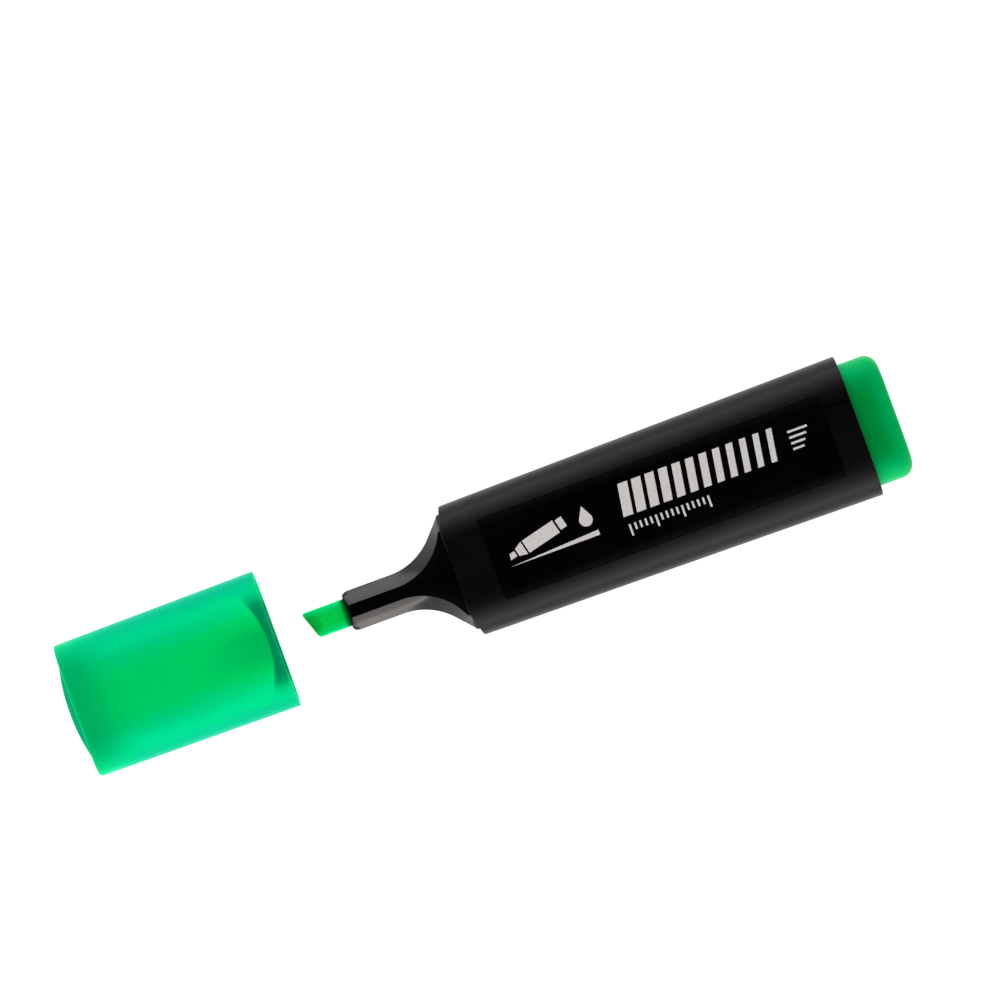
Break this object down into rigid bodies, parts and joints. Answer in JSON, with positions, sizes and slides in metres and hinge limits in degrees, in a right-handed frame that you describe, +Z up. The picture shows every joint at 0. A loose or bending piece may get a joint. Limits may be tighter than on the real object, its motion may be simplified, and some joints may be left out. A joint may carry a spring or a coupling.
{
  "type": "highlighter",
  "caption": "Flat oval highlighter pen with a slanted chisel nib, a pull-off translucent cap and a coloured tail plug.",
  "frame": {"origin": "on the surface that the pen lies on, at the middle of its whole length with the cap pulled off", "axes": "+X along the pen's axis towards the tail, +Y across its width, +Z up out of the label face"},
  "size_m": [0.1474, 0.0246, 0.015],
  "materials": {
    "satin_black": "satin moulded polypropylene with a fine texture",
    "label_film": "smooth printed film",
    "gloss_black": "polished",
    "green_felt": "ink-wet pressed felt",
    "inked_fibre": "ink-soaked fibre bundle",
    "clear_film": "thin clear film",
    "opaque_green": "satin",
    "translucent_green": "translucent, smooth",
    "soft_green": "soft moulded polyethylene"
  },
  "bodies": {
    "pen": {"barrel": "satin_black", "front_label": "label_film", "nose": "gloss_black", "nib": "green_felt", "reservoir_core": "inked_fibre", "reservoir_sheath": "clear_film", "tail_plug": "opaque_green"},
    "cap": {"cap_shell": "translucent_green", "cap_seal_sleeve": "soft_green"}
  },
  "joints": [
    {"name": "cap_slide", "type": "slide", "parent": "pen", "child": "cap", "axis": [1, 0, 0], "range_m": [0, 0.0317]}
  ]
}
